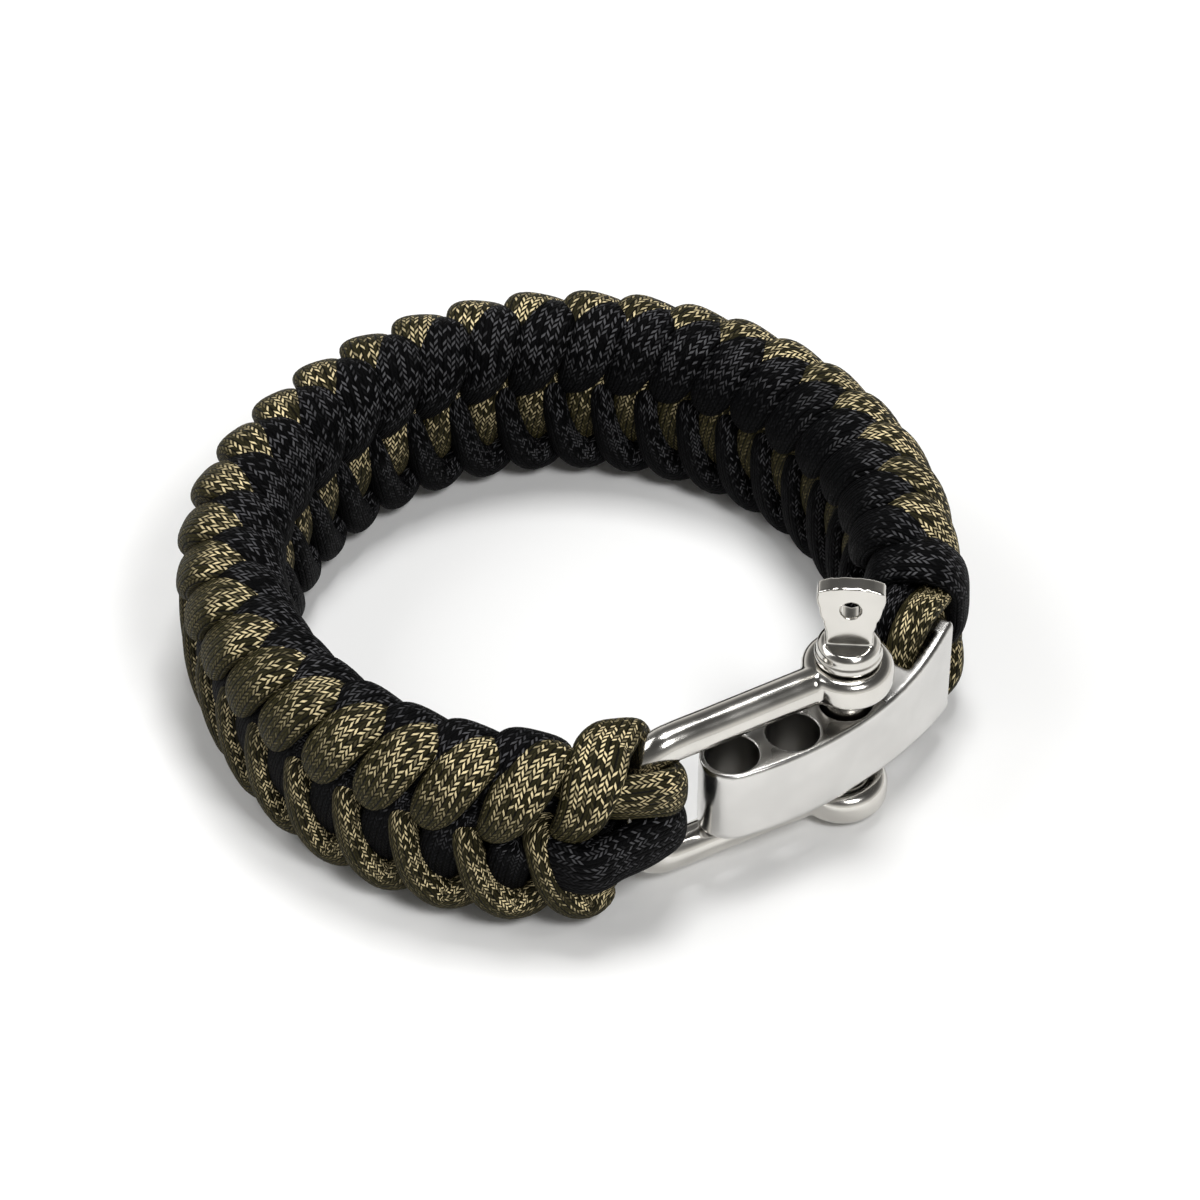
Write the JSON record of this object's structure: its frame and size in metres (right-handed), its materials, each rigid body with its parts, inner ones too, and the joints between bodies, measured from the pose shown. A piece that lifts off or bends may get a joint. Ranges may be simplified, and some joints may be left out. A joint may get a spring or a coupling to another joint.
{
  "type": "paracord bracelet",
  "caption": "Woven cord bracelet closed by a U-shaped screw-pin shackle through a curved adjuster bar with a row of holes, lying on its side.",
  "frame": {"origin": "bottom centre of the bounding box, on the floor inside the ring", "axes": "+Z is the ring's axis, up as it lies; +X runs to the right and -Y toward the viewer of the picture, so the shackle is at +X, -Y"},
  "size_m": [0.0817, 0.0792, 0.0299],
  "materials": {
    "woven_cord": "braided nylon, olive with gold flecks and black, woven together",
    "olive_cord": "braided nylon, olive with gold flecks",
    "black_cord": "braided nylon, black",
    "shackle_steel": "polished stainless steel",
    "bar_steel": "polished stainless steel"
  },
  "bodies": {
    "root": {"woven_band": "woven_cord", "olive_bow_loop": "olive_cord", "black_bow_loop": "black_cord", "olive_slot_loop": "olive_cord", "black_slot_loop": "black_cord", "shackle_bow": "shackle_steel", "screw_pin": "shackle_steel", "adjuster_bar": "bar_steel"}
  },
  "joints": []
}
